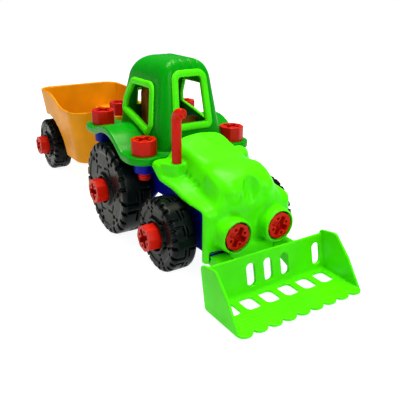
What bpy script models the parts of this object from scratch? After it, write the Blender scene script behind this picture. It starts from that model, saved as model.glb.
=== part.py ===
"""Toy tractor with a front loader bucket and a trailer, held together by big turning bolts.

Every length below is in millimetres and is turned into metres when a mesh is made. Shapes are laid out
from the rear axle: x runs forward to the bucket, y to the tractor's left, z up from the ground.
"""

import math

import bmesh
import bpy
from mathutils import Vector

MM = 0.001
REAR_AXLE_X = 27.0  # the rear axle is this far ahead of the middle of the whole toy
GAP = 0.3  # space between pieces that touch
WALL = 3.2  # thickness of the moulded shells

BOLT_HEAD_R, BOLT_HEAD_H, BOLT_SHANK_R, BOLT_HOLE_R = 15.8, 18.0, 8.0, 8.5

REAR_WHEEL = {"r": 60.0, "x": 0.0, "outer": 89.5, "width": 38.0}
FRONT_WHEEL = {"r": 43.0, "x": 124.7, "outer": 82.6, "width": 29.6}
TRAILER_WHEEL = {"r": 43.0, "x": -299.0, "outer": 69.0, "width": 29.6}

FENDER_BOLT_Y = 62.7
FENDER_FRONT = {"x": 62.5, "seat": 119.0, "boss_low": 97.0, "tip": 88.0}
FENDER_REAR = {"x": -54.8, "seat": 131.4, "boss_low": 108.0, "tip": 101.5}
DECK_HALF, DECK_SKIRT, DECK_REAR_X, DECK_FRONT_X = 85.0, 9.0, -79.0, 83.0

CAB_BASE_Z, CAB_TOP_Z = 116.0, 223.5
CAB_FRONT_SLOPE, CAB_SIDE_SLOPE = 0.18, 0.153  # how far the walls lean in for each unit of height
WINDOW_FRAME_WIDTH, WINDOW_FRAME_PROUD = 8.0, 4.0

LIGHT_Y, LIGHT_Z, LIGHT_FACE_X, LIGHT_CUP_R = 28.3, 60.6, 207.0, 19.0

LIFT_X, LIFT_Z, PIN_R = 186.0, 34.0, 3.0
ARM_IN, ARM_OUT = 31.5, 51.5
BUCKET_HALF, BUCKET_SHEET = 81.2, 3.0

HITCH_X, HITCH_TOP_Z, HITCH_PLATE = -141.0, 120.0, 8.0
TUB_HALF, TUB_REAR_X, TUB_FRONT_X, TUB_BASE_Z, TUB_RIM_Z = 70.0, -323.0, -166.0, 38.0, 138.5
TUB_FLOOR_Z, WELL_X = 43.4, -290.0

GREEN_LIGHT = (0.06, 0.83, 0.0, 1.0)
GREEN_DARK = (0.0, 0.26, 0.0, 1.0)
RED = (0.61, 0.01, 0.0, 1.0)
BLUE = (0.0, 0.003, 0.26, 1.0)
ORANGE = (0.95, 0.34, 0.01, 1.0)
BLACK = (0.02, 0.025, 0.025, 1.0)
BROWN = (0.2, 0.05, 0.0, 1.0)


def material(name, colour, roughness):
    made = bpy.data.materials.get(name)
    if made:
        return made
    made = bpy.data.materials.new(name)
    made.use_nodes = True
    shader = made.node_tree.nodes["Principled BSDF"]
    shader.inputs["Base Color"].default_value = colour
    shader.inputs["Roughness"].default_value = roughness
    shader.inputs["Metallic"].default_value = 0.0
    return made


# Outlines -------------------------------------------------------------------------------------------


def circle(u, v, radius, count):
    turns = (2 * math.pi * i / count for i in range(count))
    return [(u + radius * math.cos(t), v + radius * math.sin(t)) for t in turns]


def rounded(corners, steps=3):
    """The closed outline through (u, v, radius) corners, each turned by an arc of that radius."""
    outline = []
    for i, (u, v, radius) in enumerate(corners):
        here = Vector((u, v))
        back = (Vector(corners[i - 1][:2]) - here).normalized()
        ahead = (Vector(corners[(i + 1) % len(corners)][:2]) - here).normalized()
        half = back.angle(ahead) / 2
        reach = radius / math.tan(half)
        start, end = here + back * reach, here + ahead * reach
        middle = here + (back + ahead).normalized() * (radius / math.sin(half))
        for step in range(steps + 1):
            along = start.lerp(end, step / steps) - middle
            outline.append(tuple(middle + along.normalized() * radius))
    return outline


def inset(corners, distance):
    """The corners moved inwards, for corners listed anticlockwise."""
    moved = []
    for i, (u, v, radius) in enumerate(corners):
        here = Vector((u, v))
        back = (here - Vector(corners[i - 1][:2])).normalized()
        ahead = (Vector(corners[(i + 1) % len(corners)][:2]) - here).normalized()
        normals = Vector((-back.y, back.x)) + Vector((-ahead.y, ahead.x))
        here += normals * (distance / (1 + back.dot(ahead)))
        turn = back.x * ahead.y - back.y * ahead.x
        radius += -distance if turn > 0 else distance
        moved.append((here.x, here.y, max(radius, 0.8)))
    return moved


# Solids ---------------------------------------------------------------------------------------------


def place_on(axis):
    """Maps an outline's (u, v) and a distance along the axis to a point."""
    return {
        "x": lambda u, v, d: (d, u, v),
        "y": lambda u, v, d: (u, d, v),
        "z": lambda u, v, d: (u, v, d),
    }[axis]


def skin(mesh, rings, closed=False):
    """Faces between rings of equal length, and a cap on each end unless the rings close on themselves."""
    made = [[mesh.verts.new(point) for point in ring] for ring in rings]
    count = len(made[0])
    pairs = list(zip(made, made[1:] + made[:1] if closed else made[1:]))
    for low, high in pairs:
        for i in range(count):
            j = (i + 1) % count
            mesh.faces.new((low[i], low[j], high[j], high[i]))
    if not closed:
        mesh.faces.new(made[0])
        mesh.faces.new(made[-1])


def finish(mesh, name, origin, look):
    bmesh.ops.recalc_face_normals(mesh, faces=mesh.faces)
    shift = Vector(origin)
    for vert in mesh.verts:
        vert.co = (vert.co - shift) * MM
    data = bpy.data.meshes.new(name)
    mesh.to_mesh(data)
    mesh.free()
    data.shade_smooth()
    data.set_sharp_from_angle(angle=math.radians(35))
    made = bpy.data.objects.new(name, data)
    made.location = (shift + Vector((REAR_AXLE_X, 0, 0))) * MM
    bpy.context.scene.collection.objects.link(made)
    if look:
        data.materials.append(look)
    return made


def loft(name, rings, look=None, origin=(0, 0, 0)):
    mesh = bmesh.new()
    skin(mesh, rings)
    return finish(mesh, name, origin, look)


def prism(name, outline, axis, low, high, look=None, origin=(0, 0, 0)):
    place = place_on(axis)
    return loft(name, [[place(u, v, d) for u, v in outline] for d in (low, high)], look, origin)


def turned(name, profile, axis, u, v, count, look=None, origin=(0, 0, 0)):
    """A closed (radius, distance) profile turned round an axis through (u, v)."""
    place = place_on(axis)
    rings = [[place(*point, d) for point in circle(u, v, radius, count)] for radius, d in profile]
    mesh = bmesh.new()
    skin(mesh, rings, closed=True)
    return finish(mesh, name, origin, look)


def swept_frame(name, corners, profile, place, look, steps=3):
    """A frame that follows the corners; its section is a closed list of (inset, height)."""
    mesh = bmesh.new()
    rings = []
    for distance, height in profile:
        rings.append([place(u, v, height) for u, v in rounded(inset(corners, distance), steps)])
    skin(mesh, rings, closed=True)
    return finish(mesh, name, (0, 0, 0), look)


def combine(target, tool, operation):
    """Unites, cuts or trims the target with a tool that isn't itself a piece of the toy."""
    modifier = target.modifiers.new(tool.name, "BOOLEAN")
    modifier.operation = operation
    modifier.solver = "EXACT"
    modifier.object = tool
    tool.hide_render = True
    tool.display_type = "WIRE"
    return target


def add(target, *tools):
    for tool in tools:
        combine(target, tool, "UNION")
    return target


def cut(target, *tools):
    for tool in tools:
        combine(target, tool, "DIFFERENCE")
    return target


def hole(axis, u, v, radius, low, high, count=16):
    return prism("hole", circle(u, v, radius, count), axis, low, high)


# Bolts ----------------------------------------------------------------------------------------------


def bolt(name, axis, u, v, face, length, sign):
    """A bolt whose head's face is at the distance face along the axis and looks towards sign."""
    seat, depth, arm, half_arm = face - sign * BOLT_HEAD_H, 7.0, 10.5, 3.2
    corners = [(u + BOLT_HEAD_R * math.cos(t), v + BOLT_HEAD_R * math.sin(t), 3.0)
               for t in (math.pi * (i + 0.5) / 4 for i in range(8))]
    low, high = sorted((seat, face))
    look = material("red plastic", RED, 0.3)
    origin = place_on(axis)(u, v, seat)
    head = prism(name, rounded(corners, 1), axis, low, high, look, origin)
    low, high = sorted((seat + sign * 0.5, seat - sign * length))
    shank = prism("shank", circle(u, v, BOLT_SHANK_R, 12), axis, low, high)
    low, high = sorted((face - sign * depth, face + sign))
    arms = []
    for turn in range(4):
        c, s = round(math.cos(turn * math.pi / 2)), round(math.sin(turn * math.pi / 2))
        for a, b in ((half_arm, half_arm), (arm, half_arm), (arm, -half_arm)):
            arms.append((u + a * c + b * s, v + a * s - b * c))
    ordered = sorted(arms, key=lambda point: math.atan2(point[1] - v, point[0] - u))
    cross = prism("cross", ordered, axis, low, high)
    return cut(add(head, shank), cross)


# Wheels ---------------------------------------------------------------------------------------------


def wheel(name, size, side):
    radius, outer, width = size["r"], size["outer"], size["width"]
    profile = [(BOLT_HOLE_R, -2.8), (17.5, -2.8), (19, -0.8), (radius - 8, 0), (radius - 2.5, -1.5)]
    profile += [(radius, -5), (radius, 5 - width), (radius - 2.5, 1.5 - width)]
    profile += [(radius - 8, -width), (BOLT_HOLE_R, -width)]
    placed = [(r, side * (outer + d)) for r, d in profile]
    look = material("black plastic", BLACK, 0.35)
    return turned(name, placed, "y", size["x"], radius, 32, look, (size["x"], 0, radius))


def wheel_with_bolt(prefix, size):
    for label, side in (("right", -1), ("left", 1)):
        wheel(f"{prefix}_wheel_{label}", size, side)
        face = side * (size["outer"] - 2.5 + BOLT_HEAD_H)
        bolt(f"{prefix}_wheel_bolt_{label}", "y", size["x"], size["r"], face, size["width"] + 12, side)


# Chassis --------------------------------------------------------------------------------------------


def chassis():
    blue = material("blue plastic", BLUE, 0.4)
    half = 44.0
    side = [(-62, 107, 2), (-62, 84, 6), (-34, 44, 8), (34, 44, 8), (58, 66, 8), (88, 66, 10)]
    side += [(106, 26, 8), (177, 30, 4), (177, 73, 4), (146, 75, 6), (120, 84, 8), (86, 88, 6), (82, 107, 2)]
    frame = prism("chassis_frame", rounded(side, 2), "y", -half, half, blue)
    hollow = [(-56, 90), (-32, 20), (100, 20), (112, -5), (172, -5), (172, 68), (140, 68), (116, 76),
              (78, 82), (74, 101), (-56, 101)]
    cut(frame, prism("chassis_hollow", hollow, "y", 4 - half, half - 4))
    plan = rounded([(-157, -16, 15), (-50, -16, 4), (-50, 16, 4), (-157, 16, 15)])
    tongue_top = HITCH_TOP_Z - HITCH_PLATE - GAP
    add(frame, prism("tongue", plan, "z", tongue_top - 9, tongue_top))
    for side in (-1, 1):
        for size, reach in ((REAR_WHEEL, 50.5), (FRONT_WHEEL, 51.8)):
            low, high = sorted((side * 30, side * reach))
            add(frame, prism("axle_boss", circle(size["x"], size["r"], 14.5, 16), "y", low, high))
        for spot in (FENDER_FRONT, FENDER_REAR):
            x, y, top = spot["x"], side * FENDER_BOLT_Y, spot["seat"] - WALL - GAP
            low, high = sorted((side * 42, y))
            web = [(x - 8, 102), (x + 8, 102), (x + 8, top - 4), (x - 8, top - 4)]
            post = prism("fender_post", circle(x, y, 12.5, 16), "z", spot["boss_low"], top)
            add(frame, post, prism("post_web", web, "y", low, high))
        y = side * LIGHT_Y
        add(frame, prism("light_boss", circle(y, LIGHT_Z, 12, 12), "x", 160, 183))
        low, high = sorted((side * 22, side * (ARM_IN - 1)))
        reach, rise = LIFT_X + 5.5, 5.5
        ear = [(173, LIFT_Z - rise, 0.5), (reach, LIFT_Z - rise, 5.4), (reach, LIFT_Z + rise, 5.4)]
        add(frame, prism("pin_ear", rounded([*ear, (173, LIFT_Z + rise, 0.5)]), "y", low, high))
    add(frame, prism("crossmember", [(100, 60), (150, 60), (150, 66), (100, 66)], "y", -42, 42))
    for side in (-1, 1):
        for size in (REAR_WHEEL, FRONT_WHEEL):
            low, high = sorted((side * 20, side * 60))
            cut(frame, hole("y", size["x"], size["r"], BOLT_HOLE_R, low, high))
        for spot in (FENDER_FRONT, FENDER_REAR):
            cut(frame, hole("z", spot["x"], side * FENDER_BOLT_Y, BOLT_HOLE_R, 90, 140))
        cut(frame, hole("x", side * LIGHT_Y, LIGHT_Z, BOLT_HOLE_R, 150, 190))
    cut(frame, hole("y", LIFT_X, LIFT_Z, PIN_R + GAP, -60, 60, 12))
    return cut(frame, hole("z", HITCH_X, 0, BOLT_HOLE_R, 90, 120))


# Cab ------------------------------------------------------------------------------------------------


def cab_front_x(z):
    return 75 - CAB_FRONT_SLOPE * (z - 120)


def cab_rear_x(z):
    heights = ((116, -46), (178, -40), (200, -34), (213, -27), (226, -21))
    for (low, x_low), (high, x_high) in zip(heights, heights[1:]):
        if z <= high:
            return x_low + (x_high - x_low) * (z - low) / (high - low)
    return heights[-1][1]


def cab_half(z):
    return 47 - CAB_SIDE_SLOPE * (z - 120)


def cab_ring(z, shrink):
    front, rear, half = cab_front_x(z) - 0.6 * shrink, cab_rear_x(z) + shrink, cab_half(z) - shrink
    front_r, rear_r = max(16 - 0.06 * (z - 120) - shrink / 2, 2), max(9 - shrink / 2, 2)
    corners = [(rear, -half, rear_r), (front, -half, front_r), (front, half, front_r), (rear, half, rear_r)]
    return [(u, v, z) for u, v in rounded(corners, 4)]


def cab_body(name, wall, base, look=None):
    levels = [(base, 0), (150, 0), (178, 0), (200, 0), (207, 0.8), (213, 3), (218, 7), (221.5, 12.5)]
    levels.append((CAB_TOP_Z, 20))
    rings = []
    for z, shrink in levels:
        ring = cab_ring(max(z, CAB_BASE_Z), shrink + wall)
        rings.append([(u, v, z - (wall if z > 200 else 0)) for u, v, _ in ring])
    return loft(name, rings, look)


def deck_top():
    """The deck's upper edge from rear to front: a seat for each bolt and a hump over the wheel."""
    low, high = FENDER_REAR["seat"], FENDER_FRONT["seat"]
    return [(DECK_REAR_X, low), (-40, low), (-29, low + 3), (-16, low + 7.6), (2, low + 9),
            (16, low + 5.5), (28, low - 1), (38, high + 4), (46, high), (DECK_FRONT_X, high)]


def deck(name, wall):
    top = [(x, z - wall) for x, z in deck_top()]
    top[0], top[-1] = (top[0][0] - 2, top[0][1]), (top[-1][0] + 2, top[-1][1])
    drop = 30 if wall else DECK_SKIRT
    outline = top + [(x, z - drop) for x, z in reversed(top)]
    made = prism(name, outline, "y", -DECK_HALF - 5, DECK_HALF + 5)
    corners = [(DECK_REAR_X, -DECK_HALF, 21), (DECK_FRONT_X, -DECK_HALF, 21)]
    corners += [(DECK_FRONT_X, DECK_HALF, 21), (DECK_REAR_X, DECK_HALF, 21)]
    corners += [(DECK_REAR_X, 41, 10), (-60, 37, 8), (-60, -37, 8), (DECK_REAR_X, -41, 10)]
    plan = rounded(inset(corners, wall) if wall else corners, 4)
    return combine(made, prism(name + "_plan", plan, "z", 80, 160), "INTERSECT")


SIDE_WINDOW = [(-33.5, 151, 9), (5, 142.7, 30), (41, 133, 7)]
SIDE_WINDOW += [(50.5, 147, 9), (42, 197.5, 12), (-15, 196.5, 12), (-31.5, 170, 16)]
WINDSCREEN = [(-27.2, 142.5, 8), (27.2, 142.5, 8), (23, 212, 12), (-23, 212, 12)]
REAR_WINDOW = [(-27, 147, 8), (27, 147, 8), (25, 182, 8), (-25, 182, 8)]
SECTION = [(0, 0), (0, 2.6), (1.4, WINDOW_FRAME_PROUD), (WINDOW_FRAME_WIDTH - 1.4, WINDOW_FRAME_PROUD),
           (WINDOW_FRAME_WIDTH, 2.6), (WINDOW_FRAME_WIDTH, 0)]


def cab_shell():
    shell = cab_body("cab_shell", 0, CAB_BASE_Z, material("dark green plastic", GREEN_DARK, 0.35))
    fenders = cut(deck("fenders", 0), deck("fender_hollow", WALL))
    add(shell, fenders)
    cut(shell, cab_body("cab_hollow", WALL, 95))
    lip = WINDOW_FRAME_WIDTH - 3
    cut(shell, prism("side_opening", rounded(inset(SIDE_WINDOW, lip)), "y", -60, 60))
    cut(shell, prism("front_opening", rounded(inset(WINDSCREEN, lip)), "x", 50, 90))
    cut(shell, prism("rear_opening", rounded(inset(REAR_WINDOW, lip)), "x", -60, -25))
    for side in (-1, 1):
        for spot in (FENDER_FRONT, FENDER_REAR):
            cut(shell, hole("z", spot["x"], side * FENDER_BOLT_Y, BOLT_HOLE_R, 100, 150))
    return shell


def window_frames():
    look = material("light green plastic", GREEN_LIGHT, 0.35)
    swept_frame("windscreen_frame", WINDSCREEN, SECTION, lambda u, v, h: (cab_front_x(v) + GAP + h, u, v), look)
    rear_at = lambda u, v, h: (-46 + (v - 116) * 6 / 62 - GAP - 0.4 - h, u, v)
    swept_frame("rear_window_frame", REAR_WINDOW, SECTION, rear_at, look)
    for label, side in (("right", -1), ("left", 1)):
        beside = lambda u, v, h, side=side: (u, side * (cab_half(v) + GAP + h), v)
        swept_frame(f"side_window_frame_{label}", SIDE_WINDOW, SECTION, beside, look)


def cab_seat():
    side = [(-30, 107.3, 2), (26, 107.3, 2), (28, 136, 7), (-12, 133, 5), (-17, 188, 4), (-27, 188, 4)]
    seat = prism("cab_seat", rounded(side), "y", -20, 20, material("brown plastic", BROWN, 0.45))
    console = [(22, 107.3, 2), (46, 107.3, 2), (46, 138, 4), (40, 149.5, 6), (28, 149.5, 5), (22, 140, 4)]
    return add(seat, prism("console", rounded(console), "y", -26, 26))


# Hood -----------------------------------------------------------------------------------------------

# Each station: x, crown height, bonnet edge (y, z), wall foot (y, z), ledge edge (y, top z, bottom z).
HOOD_STATIONS = (
    (84.2, 143, 36, 134, 41.5, 118, 65, 117, 109.5),
    (98, 138, 35, 131, 41.5, 117, 64.5, 115, 99),
    (104, 136, 34, 129.5, 41, 107, 64, 103.5, 96.5),
    (124, 130, 33, 125, 40, 103, 61.5, 100, 93),
    (143, 127, 32.5, 119, 40, 97, 59.5, 94, 87),
    (160, 125.5, 37, 119.5, 41, 93, 58.5, 91.5, 85.5),
    (178, 121, 36.5, 115.5, 42, 90, 57.5, 89, 84.5),
    (184, 117.5, 34, 112, 42, 88.5, 57.5, 87.5, 84),
)
NOSE_STATIONS = (
    (180.5, 119, 35.5, 114, 42, 89, 57.5, 88.5, 28.5),
    (188, 115, 33, 110, 42, 87, 57, 86, 28.5),
    (193, 108, 30, 102, 41, 83, 54.5, 82, 29.5),
    (195.5, 100, 27, 94, 39, 79, 51, 78, 31),
)


def hood_ring(station, wall, drop):
    x, crown, top_y, top_z, foot_y, foot_z, edge_y, edge_z, low = station
    half = [(0, crown), (top_y * 0.55, crown - 0.25 * (crown - top_z)), (top_y * 0.85, top_z + 2.5),
            (top_y, top_z - 3), (foot_y - 1, foot_z + 5), (foot_y + 3, foot_z), (edge_y - 2.5, edge_z),
            (edge_y, edge_z - 2.5), (edge_y, low)]
    if wall:
        half = [(max(y - wall, 0), z - wall) for y, z in half[:-1]] + [(edge_y - wall, low - drop)]
    return [(x, y, z) for y, z in half] + [(x, -y, z) for y, z in reversed(half[1:])]


def hood_shell():
    look = material("light green plastic", GREEN_LIGHT, 0.35)
    shell = loft("hood_shell", [hood_ring(s, 0, 0) for s in HOOD_STATIONS], look)
    add(shell, loft("nose", [hood_ring(s, 0, 0) for s in NOSE_STATIONS]))
    stations = [(HOOD_STATIONS[0][0] - 5, *HOOD_STATIONS[0][1:]), *HOOD_STATIONS[1:]]
    cut(shell, loft("hood_hollow", [hood_ring(s, WALL, 30) for s in stations]))
    stations = [(NOSE_STATIONS[0][0] - 4, *NOSE_STATIONS[0][1:])]
    stations += [(s[0] - WALL, *s[1:]) for s in NOSE_STATIONS[1:]]
    cut(shell, loft("nose_hollow", [hood_ring(s, WALL, 20) for s in stations]))
    for side in (-1, 1):
        y = side * LIGHT_Y
        add(shell, prism("light_cup", circle(y, LIGHT_Z, LIGHT_CUP_R, 24), "x", 184.2, LIGHT_FACE_X))
        low, high = sorted((side * (ARM_IN - 1), side * (ARM_OUT + 0.6)))
        cut(shell, prism("arm_notch", rounded([(184, 20, 1), (200, 20, 1), (200, 42, 1), (184, 42, 1)]),
                         "y", low, high))
        cut(shell, hole("x", y, LIGHT_Z, BOLT_HEAD_R + 1.2, 187.4, 212, 24))
        cut(shell, hole("x", y, LIGHT_Z, BOLT_HOLE_R, 178, 190))
    return shell


def exhaust_stack():
    look = material("red plastic", RED, 0.3)
    x, y, foot, top, bend, radius = 108.5, -45.0, 118.0, 176.0, 9.0, 5.7
    route = [(x, z, 0.0) for z in (foot, top - bend)]
    turns = [math.radians(a) for a in (22.5, 45, 67.5, 90)]
    route += [(x + bend - bend * math.cos(a), top - bend + bend * math.sin(a), a) for a in turns]
    route.append((x + bend + 3.5, top, math.pi / 2))
    rings = []
    for u, w, lean in route:
        ring = circle(0, 0, radius, 14)
        rings.append([(u + a * math.cos(lean), y + b, w - a * math.sin(lean)) for a, b in ring])
    return loft("exhaust_stack", rings, look, (x, y, foot))


# Loader ---------------------------------------------------------------------------------------------


def loader_bucket():
    look = material("light green plastic", GREEN_LIGHT, 0.35)
    sheet, half = BUCKET_SHEET, BUCKET_HALF
    back = [(216.5, 42), (216.5 + sheet, 42), (228.5, 4.6), (280, 4.2), (280, 1.4), (224.6, 1.4)]
    bucket = prism("loader_bucket", back, "y", -half, half, look, (LIFT_X, 0, LIFT_Z))
    side = [(215.5, 48, 5), (224.4, 1.3, 2), (280, 1.3, 1.5), (280.5, 5, 2), (262, 31.5, 20), (241, 52.5, 7)]
    for sign in (-1, 1):
        low, high = sorted((sign * (half - sheet), sign * (half + 0.2)))
        add(bucket, prism("side_plate", rounded(side), "y", low, high))
    pitch = 2 * half / 9
    lip = [(275, -half), (275, half)]
    for tooth in range(9):
        middle = half - pitch * (tooth + 0.5)
        lip += [(280.5, middle + pitch * 0.49), (284.5, middle + 5.5), (286.5, middle + 2.2)]
        lip += [(286.5, middle - 2.2), (284.5, middle - 5.5), (280.5, middle - pitch * 0.49)]
    add(bucket, prism("teeth", lip, "z", 1.2, 4.3))
    for sign in (-1, 1):
        low, high = sorted((sign * ARM_IN, sign * ARM_OUT))
        arm = rounded([(179, 37, 6), (179, 27, 6), (196, 24, 4), (221, 14, 1), (219, 36, 1), (200, 37, 4)])
        add(bucket, prism("arm", arm, "y", low, high))
    for y in (-69, -23, 0, 23, 69):
        slot = rounded([(y - 5.5, 11, 5), (y + 5.5, 11, 5), (y + 5.5, 35.5, 5), (y - 5.5, 35.5, 5)], 2)
        cut(bucket, prism("slot", slot, "x", 210, 232))
    for y in (-63.5, -38, -12.7, 12.7, 38, 63.5):
        window = rounded([(232, y - 8.3, 5), (252.5, y - 8.3, 5), (252.5, y + 8.3, 5), (232, y + 8.3, 5)], 2)
        cut(bucket, prism("floor_hole", window, "z", 0, 8))
    return cut(bucket, hole("y", LIFT_X, LIFT_Z, PIN_R + GAP, -60, 60, 12))


def loader_pin():
    look = material("blue plastic", BLUE, 0.4)
    half = ARM_OUT - 0.5
    return prism("loader_pin", circle(LIFT_X, LIFT_Z, PIN_R, 12), "y", -half, half, look, (LIFT_X, 0, LIFT_Z))


# Trailer --------------------------------------------------------------------------------------------


def tub_ring(z, wall):
    low = max((TUB_RIM_Z - z) / (TUB_RIM_Z - TUB_BASE_Z), 0)
    half = TUB_HALF - 15 * (1 - (1 - low) ** 1.6) - wall
    rear, front = TUB_REAR_X + 5 * low + wall, TUB_FRONT_X - 4 * low - wall
    radius = 24 - wall
    corners = [(rear, -half, radius), (front, -half, radius), (front, half, radius), (rear, half, radius)]
    return [(u, v, z) for u, v in rounded(corners, 5)]


def rim_cutter():
    """What lies above the rim: high over the load, then an easy S down to the low front wall."""
    front, length, start = 121.0, 54.0, -268.0
    curve = [(start + length * t, front + (TUB_RIM_Z - front) * (0.5 + 0.5 * math.cos(math.pi * t)))
             for t in (i / 8 for i in range(9))]
    outline = [(-340, TUB_RIM_Z), *curve, (-150, front), (-150, 160), (-340, 160)]
    return prism("above_rim", outline, "y", -90, 90)


def trailer_tub():
    look = material("orange plastic", ORANGE, 0.35)
    x, z, arch = TRAILER_WHEEL["x"], TRAILER_WHEEL["r"], 54.0
    well_face = TRAILER_WHEEL["outer"] - TRAILER_WHEEL["width"] - 3.4
    origin = (HITCH_X, 0, HITCH_TOP_Z)
    tub = loft("trailer_tub", [tub_ring(level, 0) for level in (TUB_BASE_Z, 65, 90, 115, 139.5)], look, origin)
    hollow = [tub_ring(level, WALL) for level in (TUB_FLOOR_Z, 65, 90, 115, 145)]
    hollow = loft("tub_hollow", hollow)
    for side in (-1, 1):
        low, high = sorted((side * (well_face - WALL), side * 95))
        cut(hollow, prism("well_wall", circle(WELL_X, z, arch + WALL, 32), "y", low, high))
        low, high = sorted((side * well_face, side * 94))
        cut(tub, prism("well", circle(WELL_X, z, arch, 32), "y", low, high))
    cut(tub, hollow, rim_cutter())
    add(tub, prism("axle_tube", circle(x, z, 13.5, 16), "y", 0.2 - well_face, well_face - 0.2))
    low = HITCH_TOP_Z - HITCH_PLATE
    plan = rounded([(-168.3, -26, 2), (HITCH_X + 15, -15, 14), (HITCH_X + 15, 15, 14), (-168.3, 26, 2)])
    add(tub, prism("drawbar", plan, "z", low, HITCH_TOP_Z))
    cut(tub, hole("y", x, z, BOLT_HOLE_R, -60, 60))
    return cut(tub, hole("z", HITCH_X, 0, BOLT_HOLE_R, 100, 130))


def hitch_nut():
    top = HITCH_TOP_Z - HITCH_PLATE - 9 - 2 * GAP
    profile = [(BOLT_HOLE_R - 0.3, top), (13.5, top), (14.5, top - 1), (14.5, top - 8), (BOLT_HOLE_R - 0.3, top - 8)]
    look = material("red plastic", RED, 0.3)
    return turned("hitch_nut", profile, "z", HITCH_X, 0, 16, look, (HITCH_X, 0, top))


def build():
    for old in list(bpy.data.objects):
        bpy.data.objects.remove(old)
    chassis()
    cab_shell()
    window_frames()
    cab_seat()
    hood_shell()
    exhaust_stack()
    loader_bucket()
    loader_pin()
    trailer_tub()
    hitch_nut()
    wheel_with_bolt("rear", REAR_WHEEL)
    wheel_with_bolt("front", FRONT_WHEEL)
    wheel_with_bolt("trailer", TRAILER_WHEEL)
    for label, side in (("right", -1), ("left", 1)):
        for end, spot in (("front", FENDER_FRONT), ("rear", FENDER_REAR)):
            seat = spot["seat"] + GAP
            bolt(f"fender_bolt_{end}_{label}", "z", spot["x"], side * FENDER_BOLT_Y,
                 seat + BOLT_HEAD_H, seat - spot["tip"], 1)
        bolt(f"headlight_bolt_{label}", "x", side * LIGHT_Y, LIGHT_Z, 205.9, 24, 1)
    bolt("hitch_bolt", "z", HITCH_X, 0, HITCH_TOP_Z + GAP + BOLT_HEAD_H, 26, 1)


build()
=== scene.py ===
"""The looks of the toy tractor: moulded plastic skins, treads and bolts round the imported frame.

Lengths are in millimetres from the rear axle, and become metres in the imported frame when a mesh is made:
x forward to the bucket, y to the tractor's left, z up from the floor. Angles are in radians, or in degrees
where it says so.
"""

import math

import bmesh
import bpy
from mathutils import Matrix, Vector


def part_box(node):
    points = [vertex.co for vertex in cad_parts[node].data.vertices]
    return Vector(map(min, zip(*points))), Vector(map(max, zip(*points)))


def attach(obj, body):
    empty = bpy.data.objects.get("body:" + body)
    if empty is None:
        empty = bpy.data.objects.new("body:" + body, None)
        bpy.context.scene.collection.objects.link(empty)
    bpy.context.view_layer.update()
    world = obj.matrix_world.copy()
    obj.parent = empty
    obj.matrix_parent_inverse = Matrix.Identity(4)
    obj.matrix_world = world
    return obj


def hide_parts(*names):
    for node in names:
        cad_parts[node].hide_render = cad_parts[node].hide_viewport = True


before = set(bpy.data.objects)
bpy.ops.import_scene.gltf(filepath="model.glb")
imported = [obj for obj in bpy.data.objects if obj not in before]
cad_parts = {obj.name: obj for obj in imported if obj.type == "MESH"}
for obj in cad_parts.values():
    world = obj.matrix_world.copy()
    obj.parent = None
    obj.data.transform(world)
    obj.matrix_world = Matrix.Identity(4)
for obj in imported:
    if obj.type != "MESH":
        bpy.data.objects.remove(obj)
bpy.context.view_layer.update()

MM = 0.001


def centre_of(node):
    low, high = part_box(node)
    return (low + high) / (2 * MM)


REAR_AXLE_X = centre_of("rear_wheel_right").x
# The signs of y to the right and to the left.
SIDES = (-1, 1)
WALL = 3.2
HEAD_R, HEAD_H = 15.8, 18.0
BOLT_HOLE_R = 8.5
# Radius and width of each kind of wheel; the large kind has coarser lugs.
REAR_WHEEL, FRONT_WHEEL = (60.0, 38.0), (43.0, 29.6)
LARGE_WHEEL_R, WHEEL_BORE_R = 50.0, 8.6
DECK_HALF, DECK_REAR_X, DECK_FRONT_X = 85.0, -79.0, 83.0
SEAT_REAR_Z, SEAT_FRONT_Z = 131.4, 119.0
# Each pair of fender bolts: x and the height of its pads; then every one's y, and the pads' radius.
FENDER_BOLTS, FENDER_BOLT_Y, PAD_R = ((62.5, SEAT_FRONT_Z), (-54.8, SEAT_REAR_Z)), 62.7, 17.4
CAB_BASE_Z, CAB_TOP_Z = 116.0, 223.5
LIGHT_Y, LIGHT_Z, LIGHT_FACE_X = 28.3, 60.6, 207.0
LIFT_X, LIFT_Z = 186.0, 34.0
ARM_IN, ARM_OUT = 31.5, 51.5
HITCH_X, HITCH_TOP_Z = -141.0, 120.0
TUB_HALF, TUB_REAR_X, TUB_FRONT_X, TUB_BASE_Z, TUB_RIM_Z = 70.0, -323.0, -166.0, 38.0, 138.5
TUB_FLOOR_Z, WELL_X = 43.4, -290.0


# Materials ------------------------------------------------------------------------------------------


SPECULAR, COAT_ROUGHNESS = 0.07, 0.15
CLOUD_DARK, CLOUD_LIGHT = 0.88, 1.06
GRAIN, GRAIN_DEPTH_M = 0.12, 0.0003


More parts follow.
